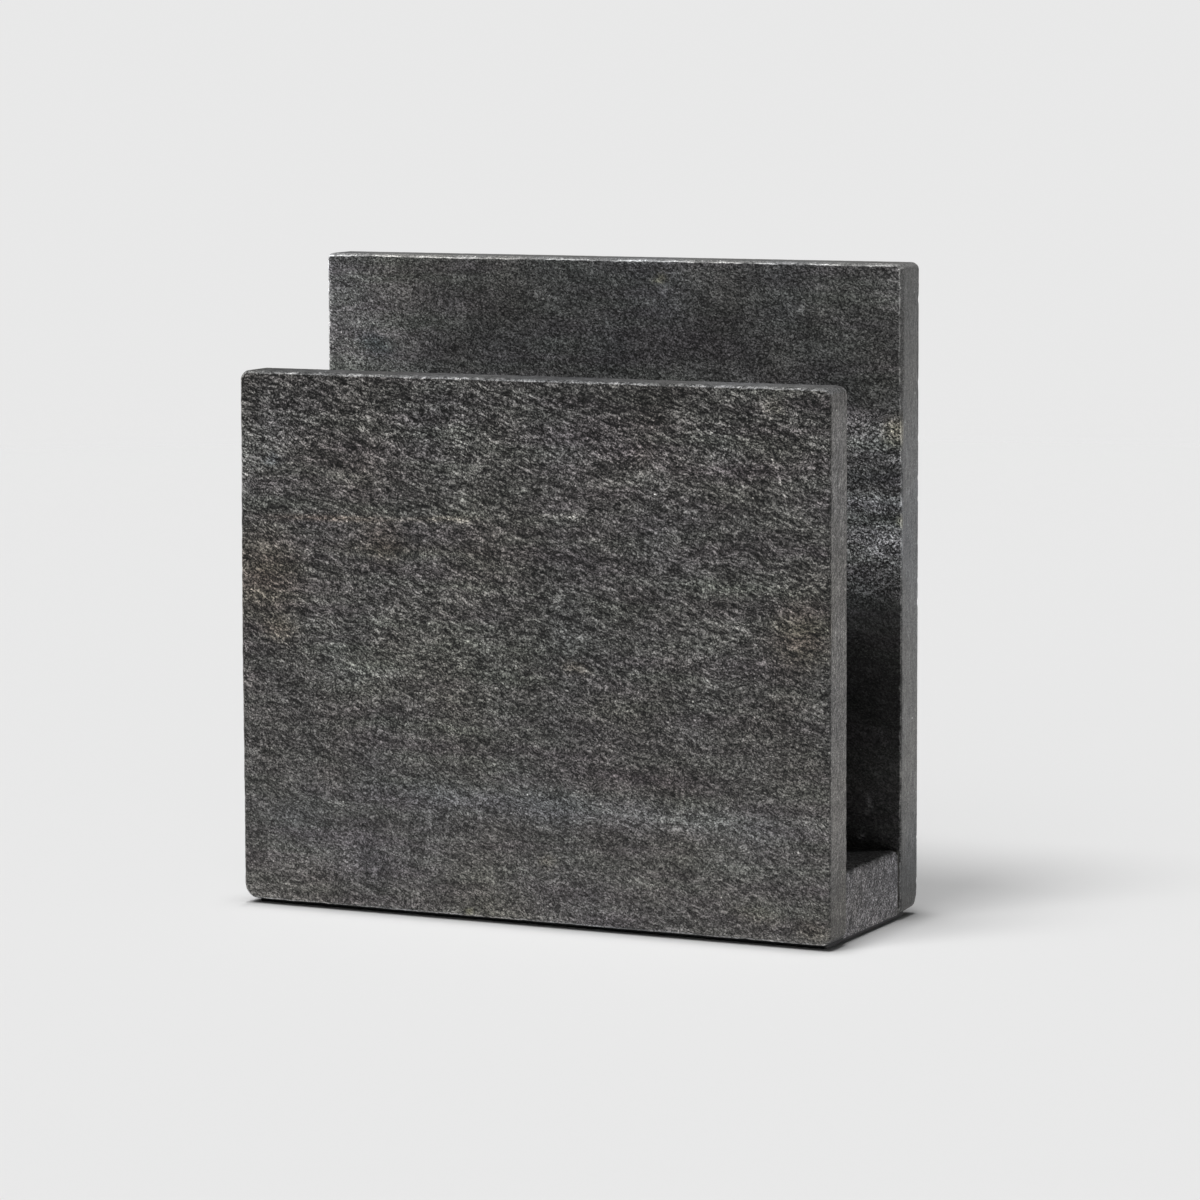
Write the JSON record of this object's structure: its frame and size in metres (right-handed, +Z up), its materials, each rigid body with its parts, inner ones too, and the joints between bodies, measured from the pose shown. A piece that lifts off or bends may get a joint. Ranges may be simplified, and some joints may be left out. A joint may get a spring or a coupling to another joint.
{
  "type": "upright napkin holder",
  "caption": "Open upright napkin holder: a low front slab and a taller back slab of dark stone bonded to a base slab, with a slot open at the top and both ends, on a thin non-slip pad.",
  "frame": {"origin": "middle of the bounding box at the underside of the non-slip pad, on the surface that the holder stands on", "axes": "+Z up; the low front panel faces -Y and the tall back panel faces +Y; the width and the open slot run along X"},
  "size_m": [0.151, 0.053, 0.1522],
  "materials": {
    "panel_stone": "satin",
    "sawn_stone": "matte",
    "bond_adhesive": "satin",
    "pad_foam": "matte",
    "film_adhesive": "satin"
  },
  "bodies": {
    "root": {"front_panel": "panel_stone", "back_panel": "panel_stone", "base_slab": "sawn_stone", "front_bond": "bond_adhesive", "back_bond": "bond_adhesive", "nonslip_pad": "pad_foam", "pad_adhesive": "film_adhesive"}
  },
  "joints": []
}
